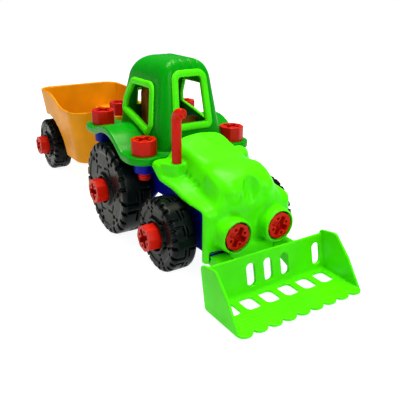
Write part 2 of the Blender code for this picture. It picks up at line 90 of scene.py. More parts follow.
def plastic(name, colour, roughness, coat=0.05):
    """Moulded plastic: faint clouding, a fine moulded grain, scuffs in the gloss and a painted highlight
    that makes convex edges paler.
    """
    made = bpy.data.materials.new(name)
    made.use_nodes = True
    nodes, links = made.node_tree.nodes, made.node_tree.links
    shader = nodes["Principled BSDF"]
    shader.inputs["Coat Weight"].default_value = coat
    shader.inputs["Coat Roughness"].default_value = COAT_ROUGHNESS
    shader.inputs["Specular IOR Level"].default_value = SPECULAR
    place = nodes.new("ShaderNodeTexCoord").outputs["Object"]

    def noise(scale, detail):
        texture = nodes.new("ShaderNodeTexNoise")
        texture.inputs["Scale"].default_value = scale
        texture.inputs["Detail"].default_value = detail
        links.new(place, texture.inputs["Vector"])
        return texture.outputs["Fac"]

    def spread(value, low, high, to_low, to_high):
        ranged = nodes.new("ShaderNodeMapRange")
        keys = ("From Min", "From Max", "To Min", "To Max")
        for key, number in zip(keys, (low, high, to_low, to_high)):
            ranged.inputs[key].default_value = number
        links.new(value, ranged.inputs["Value"])
        return ranged.outputs["Result"]

    def mix(factor, first, second):
        """Two colours by a factor; a colour is an RGBA tuple or another node's output."""
        blended = nodes.new("ShaderNodeMix")
        blended.data_type = "RGBA"
        links.new(factor, blended.inputs[0])
        for socket, value in ((blended.inputs[6], first), (blended.inputs[7], second)):
            if hasattr(value, "is_output"):
                links.new(value, socket)
            else:
                socket.default_value = value
        return blended.outputs[2]

    dark = tuple(c * CLOUD_DARK for c in colour) + (1.0,)
    light = tuple(min(c * CLOUD_LIGHT, 1.0) for c in colour) + (1.0,)
    body = mix(spread(noise(22, 3), 0.35, 0.65, 0.0, 1.0), dark, light)
    # Painted highlight: convex edges, picked out by pointiness, are made paler as if the lights caught
    # them.
    painted_highlight = tuple(min(c * 1.15 + 0.003, 1.0) for c in colour) + (1.0,)
    edge = spread(nodes.new("ShaderNodeNewGeometry").outputs["Pointiness"], 0.53, 0.62, 0.0, 0.45)
    links.new(mix(edge, body, painted_highlight), shader.inputs["Base Color"])
    scuffs = spread(noise(140, 5), 0.4, 0.7, roughness * 0.85, roughness * 1.3)
    links.new(scuffs, shader.inputs["Roughness"])
    bump = nodes.new("ShaderNodeBump")
    bump.inputs["Strength"].default_value = GRAIN
    bump.inputs["Distance"].default_value = GRAIN_DEPTH_M
    links.new(noise(900, 2), bump.inputs["Height"])
    links.new(bump.outputs["Normal"], shader.inputs["Normal"])
    return made


LIME = plastic("lime", (0.058, 0.66, 0.0), 0.36)
GREEN = plastic("dark_green", (0.0, 0.25, 0.002), 0.3)
RED = plastic("red", (0.47, 0.006, 0.0005), 0.3)
BLUE = plastic("blue", (0.0, 0.003, 0.26), 0.42)
ORANGE = plastic("orange", (0.66, 0.25, 0.001), 0.38)
BROWN = plastic("brown", (0.24, 0.07, 0.004), 0.45)
BLACK = plastic("black", (0.002, 0.0042, 0.0046), 0.28, coat=0.03)


# Outlines and solids --------------------------------------------------------------------------------


def polar(radius, turn):
    return (radius * math.cos(turn), radius * math.sin(turn))


def circle(u, v, radius, count=48):
    turns = (2 * math.pi * i / count for i in range(count))
    return [(u + radius * math.cos(t), v + radius * math.sin(t)) for t in turns]


def rounded(corners, steps=8):
    """The closed outline through (u, v, radius) corners, each turned by an arc of that radius."""
    outline = []
    for i, (u, v, radius) in enumerate(corners):
        here = Vector((u, v))
        back = (Vector(corners[i - 1][:2]) - here).normalized()
        ahead = (Vector(corners[(i + 1) % len(corners)][:2]) - here).normalized()
        half = back.angle(ahead) / 2
        reach = radius / math.tan(half)
        start, end = here + back * reach, here + ahead * reach
        middle = here + (back + ahead).normalized() * (radius / math.sin(half))
        for step in range(steps + 1):
            along = start.lerp(end, step / steps) - middle
            outline.append(tuple(middle + along.normalized() * radius))
    return outline


def inset(corners, distance):
    """The corners moved inwards, for corners listed anticlockwise."""
    moved = []
    for i, (u, v, radius) in enumerate(corners):
        here = Vector((u, v))
        back = (here - Vector(corners[i - 1][:2])).normalized()
        ahead = (Vector(corners[(i + 1) % len(corners)][:2]) - here).normalized()
        normals = Vector((-back.y, back.x)) + Vector((-ahead.y, ahead.x))
        here += normals * (distance / (1 + back.dot(ahead)))
        turn = back.x * ahead.y - back.y * ahead.x
        radius += -distance if turn > 0 else distance
        moved.append((here.x, here.y, max(radius, 0.8)))
    return moved


def eased(rows, parts):
    """Rows of numbers joined by a smooth curve through them, parts steps to each gap."""
    made = []

    def between(p, q, r, s, t):
        square, cube = 2 * p - 5 * q + 4 * r - s, 3 * q - p - 3 * r + s
        return 0.5 * (2 * q + (r - p) * t + square * t * t + cube * t ** 3)

    for i in range(len(rows) - 1):
        a, b, c, d = rows[max(i - 1, 0)], rows[i], rows[i + 1], rows[min(i + 2, len(rows) - 1)]
        for step in range(parts):
            made.append(tuple(between(*four, step / parts) for four in zip(a, b, c, d)))
    return made + [tuple(rows[-1])]


def place_on(axis):
    """How a point of an outline (u, v) stands in space at a distance d along the axis."""
    places = {"x": lambda u, v, d: (d, u, v), "y": lambda u, v, d: (u, d, v)}
    return places.get(axis, lambda u, v, d: (u, v, d))


def skin(mesh, rings, closed=False):
    """Faces from ring to ring: closed joins the last ring to the first, else both ends are filled."""
    made = [[mesh.verts.new(point) for point in ring] for ring in rings]
    count = len(made[0])
    for low, high in zip(made, made[1:] + made[:1] if closed else made[1:]):
        for i in range(count):
            j = (i + 1) % count
            mesh.faces.new((low[i], low[j], high[j], high[i]))
    if not closed:
        mesh.faces.new(made[0])
        mesh.faces.new(made[-1])


def linked(name, data):
    """A new object of the scene that holds this data."""
    made = bpy.data.objects.new(name, data)
    bpy.context.scene.collection.objects.link(made)
    return made


def stored(mesh, name):
    """A new object of the scene from a mesh under construction."""
    data = bpy.data.meshes.new(name)
    mesh.to_mesh(data)
    mesh.free()
    return linked(name, data)


def finished(mesh, name):
    """The object of a mesh built in millimetres from the rear axle."""
    bmesh.ops.recalc_face_normals(mesh, faces=mesh.faces)
    made = stored(mesh, name)
    made.data.transform(Matrix.Scale(MM, 4) @ Matrix.Translation((REAR_AXLE_X, 0, 0)))
    return made


def at_origin(piece):
    """A master moved from the rear axle to the frame's origin, to be placed from there."""
    piece.data.transform(Matrix.Translation((-REAR_AXLE_X * MM, 0, 0)))
    return piece


def loft(name, rings):
    mesh = bmesh.new()
    skin(mesh, rings)
    return finished(mesh, name)


def prism(name, outline, axis, low, high):
    place = place_on(axis)
    return loft(name, [[place(u, v, d) for u, v in outline] for d in (low, high)])


def turned(name, profile, axis, count):
    """A profile of (radius, distance along the axis) points turned about the axis."""
    place = place_on(axis)
    mesh = bmesh.new()
    rings = [[place(*point, d) for point in circle(0, 0, r, count)] for r, d in profile]
    skin(mesh, rings, closed=True)
    return finished(mesh, name)


def swept_frame(name, corners, profile, place):
    """A profile of (inset, height) points carried round a rounded window."""
    mesh = bmesh.new()
    rings = [[place(u, v, h) for u, v in rounded(inset(corners, d), 10)] for d, h in profile]
    skin(mesh, rings, closed=True)
    return finished(mesh, name)


def joined(name, objects):
    """One object that holds the meshes of several, in their places."""
    mesh = bmesh.new()
    for each in objects:
        mesh.from_mesh(each.data)
        bpy.data.objects.remove(each)
    return stored(mesh, name)


def baked(target):
    """Puts the result of the modifiers into the mesh and takes their tools away."""
    tools = [modifier.object for modifier in target.modifiers if modifier.type == "BOOLEAN"]
    graph = bpy.context.evaluated_depsgraph_get()
    data = bpy.data.meshes.new_from_object(target.evaluated_get(graph))
    target.modifiers.clear()
    target.data = data
    for tool in tools:
        bpy.data.objects.remove(tool)
    return target


def combined(target, operation, tools, solver="EXACT"):
    """The target with each tool taken away from it, added to it or kept in common."""
    for tool in tools:
        modifier = target.modifiers.new(tool.name, "BOOLEAN")
        modifier.operation = operation
        modifier.solver = solver
        modifier.object = tool
    return baked(target)


def moulded(target, voxel, passes):
    """A closed skin of even squares with its edges eased, as plastic leaves a mould."""
    remesh = target.modifiers.new("skin", "REMESH")
    remesh.mode = "VOXEL"
    remesh.voxel_size = voxel * MM * 1.0
    remesh.use_smooth_shade = True
    smooth = target.modifiers.new("ease", "SMOOTH")
    smooth.factor = 0.5
    smooth.iterations = max(passes // (1), 1)
    return baked(target)


def placed(piece, look, body, node):
    """Gives a piece its plastic and its body, and hides the frame's node that it stands for."""
    piece.data.materials.clear()
    piece.data.materials.append(look)
    piece.data.shade_smooth()
    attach(piece, body)
    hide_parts(node)


# Bolts ----------------------------------------------------------------------------------------------


def bolt_head():
    """An eight-sided head with a cross to turn it by, a small hole between each two arms and a rim."""
    def section(radius, z):
        corners = [(*polar(radius, math.pi * (i + 0.5) / 4), 3.2) for i in range(8)]
        return [(u, v, z) for u, v in rounded(corners, 4)]

    head = loft("head", [section(HEAD_R, 0.0), section(HEAD_R, HEAD_H)])
    arm, half = 11.2, 3.0
    cross = [(half, arm, 1.6), (-half, arm, 1.6), (-half, half, 1.2), (-arm, half, 1.6)]
    cross += [(-arm, -half, 1.6), (-half, -half, 1.2), (-half, -arm, 1.6), (half, -arm, 1.6)]
    cross += [(half, -half, 1.2), (arm, -half, 1.6), (arm, half, 1.6), (half, half, 1.2)]
    tools = [prism("cross", rounded(cross, 4), "z", HEAD_H - 7, HEAD_H + 2)]
    tools.append(prism("well", circle(0, 0, 5.2, 32), "z", HEAD_H - 8.5, HEAD_H + 1))
    for turn in range(4):
        dot = circle(*polar(9.2, math.pi * (turn + 0.5) / 2), 1.7, 20)
        tools.append(prism("dot", dot, "z", HEAD_H - 4, HEAD_H + 1))
    combined(head, "DIFFERENCE", tools)
    inner, outer, low, high = HEAD_R - 3.2, HEAD_R - 2.6, HEAD_H - 0.2, HEAD_H + 0.3
    ring = [(inner, low), (inner, high), (outer, high), (outer, low)]
    combined(head, "DIFFERENCE", [turned("groove", ring, "z", 48)])
    return at_origin(moulded(head, 0.45, 2))


def threaded_shank(length):
    """A shank down from the seat, with coarse rounded ridges for a thread and a blunt tip."""
    pitch, ridge_height, plain_length = 4.5, 0.38, 4
    steps = int(length * 1.6)
    sizes = [(7.6, 0.6)]
    for step in range(steps + 1):
        z = -length * 0.97 * step / steps
        ridge = ridge_height * math.cos(2 * math.pi * z / pitch) if z < -plain_length else 0.0
        sizes.append((7.55 + ridge, z))
    sizes.append((6.6, -length))
    return at_origin(loft("shank", [[(u, v, z) for u, v in circle(0, 0, r, 40)] for r, z in sizes]))


def bolt(master, node, body, turn):
    """A bolt in its node's place: the length of the node's box, less the head, is its shank."""
    low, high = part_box(node)
    size, middle = high - low, (low + high) / 2
    if "wheel" in node:
        side, outer = (-1, low.y) if "right" in node else (1, high.y)
        up, length = Vector((0, side, 0)), size.y
        seat = Vector((middle.x, outer - side * HEAD_H * MM, middle.z))
    elif "headlight" in node:
        up, length = Vector((1, 0, 0)), size.x
        seat = Vector((high.x - HEAD_H * MM, middle.y, middle.z))
    else:
        up, length = Vector((0, 0, 1)), size.z
        seat = Vector((middle.x, middle.y, high.z - HEAD_H * MM))
    head = linked("head", master.data.copy())
    piece = joined(node + "_turned", [head, threaded_shank(length / MM - HEAD_H)])
    stand = up.to_track_quat("Z", "Y").to_matrix().to_4x4()
    piece.data.transform(Matrix.Translation(seat) @ stand @ Matrix.Rotation(math.radians(turn), 4, "Z"))
    placed(piece, RED, body, node)


# Degrees that each pair of bolts is turned by.
BOLT_TURNS = {"fender_bolt_front": 28, "fender_bolt_rear": 20, "headlight_bolt": 62, "rear_wheel_bolt": 12,
              "front_wheel_bolt": 30, "trailer_wheel_bolt": 50}


def bolts():
    """All the bolts, from one head."""
    master = bolt_head()
    for prefix, turn in BOLT_TURNS.items():
        body = "trailer" if prefix.startswith("trailer") else "tractor"
        for label in ("right", "left"):
            bolt(master, f"{prefix}_{label}", body, turn)
    bolt(master, "hitch_bolt", "tractor", 15)
    bpy.data.objects.remove(master)


# Wheels ---------------------------------------------------------------------------------------------


def face_tools(radius):
    """What cuts the holes, chevrons and rim notches of the six equal parts of a wheel's face."""
    sectors, first_turn = 6, 0.26
    notch_half = 2.4 if radius > LARGE_WHEEL_R else 1.9
    reach, inner = radius * 0.54, radius * 0.44
    chevron = [(inner, -0.34, 0.5), (inner * 1.1, -0.40, 0.5), (reach * 1.06, 0.0, 0.8)]
    chevron += [(inner * 1.1, 0.40, 0.5), (inner, 0.34, 0.5), (reach * 0.97, 0.0, 0.6)]
    tools = []
    for sector in range(sectors):
        middle = 2 * math.pi * sector / sectors + first_turn
        for share, spin in ((0.755, -0.14), (0.755, 0.14), (0.645, 0.0)):
            hole = circle(*polar(radius * share, middle + spin), 0.043 * radius, 18)
            tools.append(prism("dot", hole, "y", -1, 5))
        corners = [(*polar(r, middle + spin), corner) for r, spin, corner in chevron]
        tools.append(prism("chevron", rounded(corners, 3), "y", -1, 2.3))
        for spin, share in ((-0.40, 0.87), (-0.16, 0.83), (0.16, 0.83), (0.40, 0.87)):
            c, s = polar(1.0, middle + spin)
            notch = [(radius * share, -notch_half), (radius + 2, -notch_half)]
            notch += [(radius + 2, notch_half), (radius * share, notch_half)]
            corners = [(u * c - v * s, u * s + v * c, 0.9) for u, v in notch]
            tools.append(prism("notch", rounded(corners, 3), "y", -1, 5.0))
    return tools


# The grooves beside each lug: the angles from and to, and the shares of the wheel's width from and to.
GROOVES = ((-0.20, -0.135, 0.12, 0.52), (-0.1349, 0.10, 0.44, 0.52), (0.06, 0.125, 0.6, 1.05),
           (-0.16, 0.0599, 0.6, 0.67))


def tread_tools(radius, width):
    """What cuts the grooves between twelve lugs, every other lug the mirror of the one before."""
    lugs = 12
    inner, outer = radius - (4.2 if radius > LARGE_WHEEL_R else 3.4), radius + 2
    tools = []
    for lug in range(lugs):
        middle = 2 * math.pi * (lug + 0.5) / lugs
        mirror = -1 if lug % 2 else 1
        for low, high, low_y, high_y in GROOVES:
            turns = [middle + mirror * (low + (high - low) * i / 5) for i in range(6)]
            ring = [polar(inner, t) for t in turns] + [polar(outer, t) for t in reversed(turns)]
            tools.append(prism("groove", ring, "y", width * low_y, width * high_y))
    return tools


def wheel_master(name, radius, width):
    """A moulded wheel seen from its outer face at y = 0, its tread running to y = width."""
    profile = [(WHEEL_BORE_R, 2.8), (17.2, 2.8), (17.2, -1.2), (18.2, -2.2), (20.0, -2.2), (21.2, -1.2)]
    profile += [(22.4, 1.0), (radius - 13, 1.1), (radius - 11, 0.0), (radius - 4.5, 0.0)]
    profile += [(radius - 1.2, 1.6), (radius, 4.6), (radius, width * 0.5), (radius, width - 4.6)]
    profile += [(radius - 1.2, width - 1.6), (radius - 6, width), (radius - 9, width - 6)]
    profile += [(20, width - 6), (16, width), (WHEEL_BORE_R, width)]
    wheel = turned(name, profile, "y", 120)
    combined(wheel, "DIFFERENCE", [joined("face_tools", face_tools(radius))])
    combined(wheel, "DIFFERENCE", [joined("tread_tools", tread_tools(radius, width))])
    return at_origin(moulded(wheel, 0.75 if radius > LARGE_WHEEL_R else 0.65, 2))


def wheels():
    """The six wheels, from two masters, each pair turned by some degrees."""
    masters = {"rear": wheel_master("rear_master", *REAR_WHEEL),
               "front": wheel_master("front_master", *FRONT_WHEEL)}
    turns = {"rear": 8, "front": 24, "trailer": 40}
    for prefix, turn in turns.items():
        master = masters.get(prefix, masters["front"])
        for label, spin in (("right", 0), ("left", 180)):
            node = f"{prefix}_wheel_{label}"
            low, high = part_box(node)
            piece = linked(node + "_treaded", master.data.copy())
            outer = low.y if label == "right" else high.y
            middle = (low + high) / 2
            piece.data.transform(Matrix.Translation((middle.x, outer, middle.z))
                                 @ Matrix.Rotation(math.radians(spin), 4, "Z")
                                 @ Matrix.Rotation(math.radians(turn), 4, "Y"))
            placed(piece, BLACK, node, node)
    for master in masters.values():
        bpy.data.objects.remove(master)


# Cab ------------------------------------------------------------------------------------------------


def cab_front_x(z):
    """Where the cab's front wall stands at a height."""
    return 75 - 0.18 * (z - 120)


def cab_rear_x(z):
    """Where the cab's rear wall stands at a height."""
    heights = ((116, -46), (178, -40), (200, -34), (213, -27), (226, -21))
    for (low, x_low), (high, x_high) in zip(heights, heights[1:]):
        if z <= high:
            return x_low + (x_high - x_low) * (z - low) / (high - low)
    return heights[-1][1]


def cab_half(z):
    """Half the cab's width at a height."""
    return 47 - 0.153 * (z - 120)


def cab_ring(z, shrink):
    """The cab's outline at a height, drawn in by an amount."""
    front, rear, half = cab_front_x(z) - 0.6 * shrink, cab_rear_x(z) + shrink, cab_half(z) - shrink
    front_r, rear_r = max(16 - 0.06 * (z - 120) - shrink / 2, 2), max(9 - shrink / 2, 2)
    corners = [(rear, -half, rear_r), (front, -half, front_r)]
    corners += [(front, half, front_r), (rear, half, rear_r)]
    return [(u, v, z) for u, v in rounded(corners, 10)]


# Each level of the roof's edge, and how far it has drawn in from the walls there.
ROOF_EDGE = [(204, 0.2), (207, 0.8), (210, 1.7), (213, 3), (215.7, 4.8)]
ROOF_EDGE += [(218, 7), (220, 9.7), (221.5, 12.5), (222.7, 16), (CAB_TOP_Z, 20)]


def cab_body(name, wall, base):
    """The cab's upright body, or its hollow when it has a wall."""
    levels = [(z, 0) for z in (base, 135, 150, 165, 178, 190, 200)] + ROOF_EDGE
    rings = []
    for z, shrink in levels:
        ring = cab_ring(max(z, CAB_BASE_Z), shrink + wall)
        rings.append([(u, v, z - (wall if z > 200 else 0)) for u, v, _ in ring])
    return loft(name, rings)


def deck_top():
    """The fenders' top line from the rear pad over the rear wheel and down to the front pad."""
    low, high = SEAT_REAR_Z, SEAT_FRONT_Z
    points = [(-46, low), (-40, low + 0.2), (-29, low + 3), (-16, low + 7.6), (2, low + 9),
              (16, low + 5.5), (28, low - 1), (38, high + 4), (46, high + 0.2), (52, high)]
    return [(DECK_REAR_X, low), *eased(points, 5), (DECK_FRONT_X, high)]


def deck(name, wall):
    """The fenders and the shelf between them, or their hollow when they have a wall."""
    top = [(x, z - wall) for x, z in deck_top()]
    top[0], top[-1] = (top[0][0] - 2, top[0][1]), (top[-1][0] + 2, top[-1][1])
    outline = top + [(x, z - (30 if wall else 9)) for x, z in reversed(top)]
    made = prism(name, outline, "y", -DECK_HALF - 5, DECK_HALF + 5)
    corners = [(DECK_REAR_X, -DECK_HALF, 21), (DECK_FRONT_X, -DECK_HALF, 21)]
    corners += [(DECK_FRONT_X, DECK_HALF, 21), (DECK_REAR_X, DECK_HALF, 21)]
    corners += [(DECK_REAR_X, 41, 10), (-60, 37, 8), (-60, -37, 8), (DECK_REAR_X, -41, 10)]
    plan = rounded(inset(corners, wall) if wall else corners, 12)
    return combined(made, "INTERSECT", [prism(name + "_plan", plan, "z", 80, 160)])


SIDE_WINDOW = [(-33.5, 151, 9), (5, 142.7, 30), (41, 133, 7)]
SIDE_WINDOW += [(50.5, 147, 9), (42, 197.5, 12), (-15, 196.5, 12), (-31.5, 170, 16)]
WINDSCREEN = [(-27.2, 142.5, 8), (27.2, 142.5, 8), (23, 212, 12), (-23, 212, 12)]
REAR_WINDOW = [(-27, 147, 8), (27, 147, 8), (25, 182, 8), (-25, 182, 8)]
FRAME_WIDE, FRAME_PROUD = 8.0, 4.0


def cab():
    shell = joined("cab_moulding", [cab_body("cab", 0, CAB_BASE_Z), deck("fenders", 0)])
    for x, z in FENDER_BOLTS:
        for side in SIDES:
            pad = prism("pad", circle(x, side * FENDER_BOLT_Y, PAD_R), "z", z - 6, z + 0.15)
            shell = joined("cab_moulding", [shell, pad])
    moulded(shell, 1.1, 9)
    below = [(cab_front_x(z) - 0.6 * shrink - 1.0, z - 1.1) for z, shrink in ROOF_EDGE]
    above = [(-12, CAB_TOP_Z - 1.1), (-18, CAB_TOP_Z + 3), (85, CAB_TOP_Z + 3), (85, 204)]
    tools = [prism("groove", below + above, "y", y - 1.1, y + 1.1) for y in (-16.5, -5.5, 5.5, 16.5)]
    combined(shell, "DIFFERENCE", [joined("grooves", tools)], "MANIFOLD")
    lip = FRAME_WIDE - 3
    tools = [deck("fender_hollow", WALL), cab_body("cab_hollow", WALL, 95)]
    tools.append(prism("side_opening", rounded(inset(SIDE_WINDOW, lip)), "y", -60, 60))
    tools.append(prism("front_opening", rounded(inset(WINDSCREEN, lip)), "x", 50, 90))
    tools.append(prism("rear_opening", rounded(inset(REAR_WINDOW, lip)), "x", -60, -25))
    for side in SIDES:
        for x, _ in FENDER_BOLTS:
            hole = circle(x, side * FENDER_BOLT_Y, BOLT_HOLE_R, 32)
            tools.append(prism("bolt_hole", hole, "z", 100, 150))
    combined(shell, "DIFFERENCE", tools, "MANIFOLD")
    moulded(shell, 0.95, 2)
    placed(shell, GREEN, "tractor", "cab_shell")


def frame_section():
    """A window frame's profile: a rounded bead outside, with a lip into the opening behind it."""
    wide, base = FRAME_WIDE, 1.2
    section = [(0, 0.3), (0, base)]
    for step in range(13):
        a = math.pi * step / 12
        height = base + (FRAME_PROUD - base) * math.sin(a) ** 0.7
        section.append((wide / 2 - wide / 2 * math.cos(a), height))
    return section + [(wide, base), (wide, -2.4), (wide - 1.6, -2.4), (wide - 1.6, 0.3)]


def window_frames():
    section, gap = frame_section(), 0.3

    def front(u, v, h):
        return (cab_front_x(v) + gap + h, u, v)

    def rear(u, v, h):
        return (-46 + (v - 116) * 6 / 62 - 0.7 - h, u, v)

    def beside(side):
        return lambda u, v, h: (u, side * (cab_half(v) + gap + h), v)

    for name, window, place, node in (
        ("windscreen_surround", WINDSCREEN, front, "windscreen_frame"),
        ("rear_window_surround", REAR_WINDOW, rear, "rear_window_frame"),
        ("side_surround_right", SIDE_WINDOW, beside(-1), "side_window_frame_right"),
        ("side_surround_left", SIDE_WINDOW, beside(1), "side_window_frame_left"),
    ):
        placed(swept_frame(name, window, section, place), LIME, "tractor", node)


def seat():
    """A seat with a pleated back whose top corners are round, and the block in front of it."""
    side = [(-30, 107.3, 2), (26, 107.3, 2), (28, 136, 7), (-12, 133, 5), (-17, 188, 4), (-27, 188, 4)]
    piece = prism("seat_moulding", rounded(side), "y", -20, 20)
    trims = []
    for sign in SIDES:
        corner = [(21, 190), (21, 172), (20, 174), (17.5, 181), (12, 186.6), (7, 188.2), (7, 190)]
        trims.append(prism("corner", [(sign * y, z) for y, z in corner], "x", -32, -8))
    for y in (-12, -6, 0, 6, 12):
        pleat = [(y - 0.7, 140), (y + 0.7, 140), (y + 0.7, 180), (y - 0.7, 180)]
        trims.append(prism("pleat", pleat, "x", -14.5, -11))
    combined(piece, "DIFFERENCE", trims)
    block = [(22, 107.3, 2), (46, 107.3, 2), (46, 138, 5), (40, 149.5, 6), (28, 149.5, 5), (22, 140, 5)]
    piece = joined("seat_moulding", [piece, prism("console", rounded(block), "y", -26, 26)])
    moulded(piece, 0.9, 4)
    placed(piece, BROWN, "tractor", "cab_seat")


# Hood -----------------------------------------------------------------------------------------------

# Each station: x, crown height, bonnet edge (y, z), wall foot (y, z), ledge edge (y, top z, bottom z).
HOOD_STATIONS = (
    (84.2, 143, 36, 134, 41.5, 118, 65, 117, 109.5),
    (98, 138, 35, 131, 41.5, 117, 64.5, 115, 99),
    (104, 136, 34, 129.5, 41, 107, 64, 103.5, 96.5),
    (124, 130, 33, 125, 40, 103, 61.5, 100, 93),
    (143, 127, 32.5, 119, 40, 97, 59.5, 94, 87),
    (158, 125.8, 36.5, 119, 41, 93, 58.5, 91.5, 85.5),
    (170, 123, 36.5, 115.5, 41.5, 91.5, 58, 90, 85),
    (178, 119.8, 35.5, 111.5, 42, 90, 57.5, 89, 84.5),
    (184, 116.8, 33.5, 108.5, 42, 88.5, 57.5, 87.5, 84),
)
NOSE_STATIONS = (
    (180.5, 118.7, 35, 110.5, 42, 89, 57.5, 88.5, 27),
    (185.5, 115, 32.5, 106.5, 42, 87, 57, 86, 27),
    (188.5, 109, 29.5, 101, 41, 83, 54.5, 82.5, 27.5),
    (190, 101, 26.5, 94, 39, 79, 51.5, 79, 28.5),
)
VALLEY_AT, VALLEY_LEAN = (199, 0, 107), -8


def hood_ring(station, wall, drop):
    """The hood's section at a station, or its hollow's when it has a wall, open below by the drop."""
    x, crown, top_y, top_z, foot_y, foot_z, edge_y, edge_z, low = station
    half = [(0, crown), (top_y * 0.55, crown - 0.25 * (crown - top_z)), (top_y * 0.85, top_z + 2.5),
            (top_y, top_z - 3), (foot_y - 1, foot_z + 5), (foot_y + 3, foot_z), (edge_y - 2.5, edge_z),
            (edge_y, edge_z - 2.5), (edge_y, low)]
    if wall:
        half = [(max(y - wall, 0), z - wall) for y, z in half[:-1]] + [(edge_y - wall, low - drop)]
    else:
        half = eased(half[:4], 6)[:-1] + eased(half[3:6], 5)[:-1] + half[5:]
    return [(x, y, z) for y, z in half] + [(x, -y, z) for y, z in reversed(half[1:])]


def ball(name, centre, radii, lean):
    """An egg whose long way leans forward by an angle in degrees."""
    mesh = bmesh.new()
    bmesh.ops.create_uvsphere(mesh, u_segments=32, v_segments=20, radius=1.0)
    shape = Matrix.Rotation(math.radians(lean), 4, "Y") @ Matrix.Diagonal((*radii, 1))
    bmesh.ops.transform(mesh, matrix=Matrix.Translation(centre) @ shape, verts=mesh.verts)
    return finished(mesh, name)


def hood_solid():
    """The hood before it is hollowed: bonnet, nose, light pods, brows, apron and pads, with its vents."""
    parts = 6
    pieces = [loft("hood_body", [hood_ring(s, 0, 0) for s in eased(HOOD_STATIONS, parts)]),
              loft("nose", [hood_ring(s, 0, 0) for s in eased(NOSE_STATIONS, parts)])]
    apron = rounded([(180.5, -51, 4), (195, -51, 7), (195, 51, 7), (180.5, 51, 4)])
    pieces.append(prism("apron", apron, "z", 27, 41))
    for side in SIDES:
        pod = circle(side * LIGHT_Y, LIGHT_Z, 19.6)
        pieces.append(prism("pod", pod, "x", 184.5, LIGHT_FACE_X))
        pieces.append(ball("pod_root", (186, side * LIGHT_Y, LIGHT_Z + 1), (9, 23, 24), 0))
        pieces.append(ball("brow", (177, side * 22, 99), (17, 13.5, 15), -12))
        pad = [(84.6, 60, 2), (84.6, 36, 2), (116, 36, 6), (117, 50, 9), (101, 60, 9)]
        pad = [(x, side * y, radius) for x, y, radius in pad]
        pieces.append(prism("exhaust_pad", rounded(pad[::side], 5), "z", 102, 118))
    shell = moulded(joined("hood_moulding", pieces), 1.1, 3)
    combined(shell, "DIFFERENCE", [ball("valley", VALLEY_AT, (17.5, 13, 27), VALLEY_LEAN)], "MANIFOLD")
    vents = [ball("vent", (x, side * 41.5, z), (2.6, 4.6, 5.0), 0) for side in SIDES
             for x, z in ((119, 108.5), (126.5, 106.5), (137, 103.5), (144.5, 101.3))]
    combined(shell, "DIFFERENCE", [joined("vents", vents)], "MANIFOLD")
    return moulded(shell, 1.1, 12)


def hood_hollows():
    """What hollows the hood, keeping a wall behind the valley."""
    first, *rest = HOOD_STATIONS
    body = loft("hood_hollow", [hood_ring(s, WALL, 30) for s in [(first[0] - 5, *first[1:]), *rest]])
    first, *rest = NOSE_STATIONS
    stations = [(first[0] - 4, *first[1:])] + [(x - WALL, *sizes) for x, *sizes in rest]
    nose = loft("nose_hollow", [hood_ring(s, WALL, 20) for s in stations])
    for tool in (body, nose):
        wall = ball("valley_wall", VALLEY_AT, (20.8, 16.3, 30.5), VALLEY_LEAN)
        combined(tool, "DIFFERENCE", [wall])
    apron = rounded([(176, -48, 3), (192, -48, 4), (192, 48, 4), (176, 48, 3)])
    return [body, nose, prism("apron_hollow", apron, "z", 20, 41)]


def hood():
    shell = hood_solid()
    combined(shell, "DIFFERENCE", hood_hollows(), "MANIFOLD")
    floors = [prism("cup_floor", circle(side * LIGHT_Y, LIGHT_Z, 18.5), "x", 184.4, 192) for side in SIDES]
    combined(shell, "UNION", floors, "MANIFOLD")
    notch = rounded([(183, 20, 1), (202, 20, 1), (202, 42, 1), (183, 42, 1)])
    tools = []
    for side in SIDES:
        y = side * LIGHT_Y
        low, high = sorted((side * (ARM_IN - 1), side * (ARM_OUT + 0.8)))
        tools.append(prism("arm_notch", notch, "y", low, high))
        tools.append(prism("cup", circle(y, LIGHT_Z, HEAD_R + 1.0), "x", 187.2, 212))
        tools.append(prism("light_hole", circle(y, LIGHT_Z, BOLT_HOLE_R, 32), "x", 178, 190))
    combined(shell, "DIFFERENCE", tools, "MANIFOLD")
    moulded(shell, 0.95, 2)
    placed(shell, LIME, "tractor", "hood_shell")


def exhaust():
    """A pipe that rises, bends forward and ends in a short open mouth."""
    x, y, foot, top, bend, radius = 108.5, -45.0, 118.2, 176.0, 9.0, 5.7
    mouth, level = x + bend + 3.4, math.pi / 2
    turns = [math.pi / 2 * i / 14 for i in range(1, 15)]
    rings = [(radius - 0.4, x, foot, 0.0), (radius, x, foot + 0.5, 0.0)]
    rings += [(radius, x, foot + (top - bend - foot) * i / 10, 0.0) for i in range(1, 11)]
    rings += [(radius, x + bend - bend * math.cos(a), top - bend + bend * math.sin(a), a) for a in turns]
    rings += [(radius, mouth, top, level), (radius - 0.15, mouth + 0.25, top, level)]
    rings += [(radius - 0.6, mouth + 0.5, top, level), (radius - 1.6, mouth + 0.5, top, level)]
    rings += [(radius - 2.0, mouth - 0.3, top, level), (0.5, mouth - 0.6, top, level)]

    def ring(size, u, w, lean):
        c, s = math.cos(lean), math.sin(lean)
        return [(u + a * c, y + b, w - a * s) for a, b in circle(0, 0, size, 40)]

    pipe = loft("exhaust_pipe", [ring(*each) for each in rings])
    placed(pipe, RED, "tractor", "exhaust_stack")


# Loader ---------------------------------------------------------------------------------------------


def bucket_lip(half, pitch, teeth):
    """The outline of the lip with its rounded teeth, seen from above."""
    lip = [(275, -half), (275, half)]
    for tooth in range(teeth):
        middle = half - pitch * (tooth + 0.5)
        for step in range(13):
            t = math.pi * step / 12
            lip.append((279.2 + 7.5 * math.sin(t) ** 0.9, middle + pitch * 0.485 * math.cos(t)))
    return lip


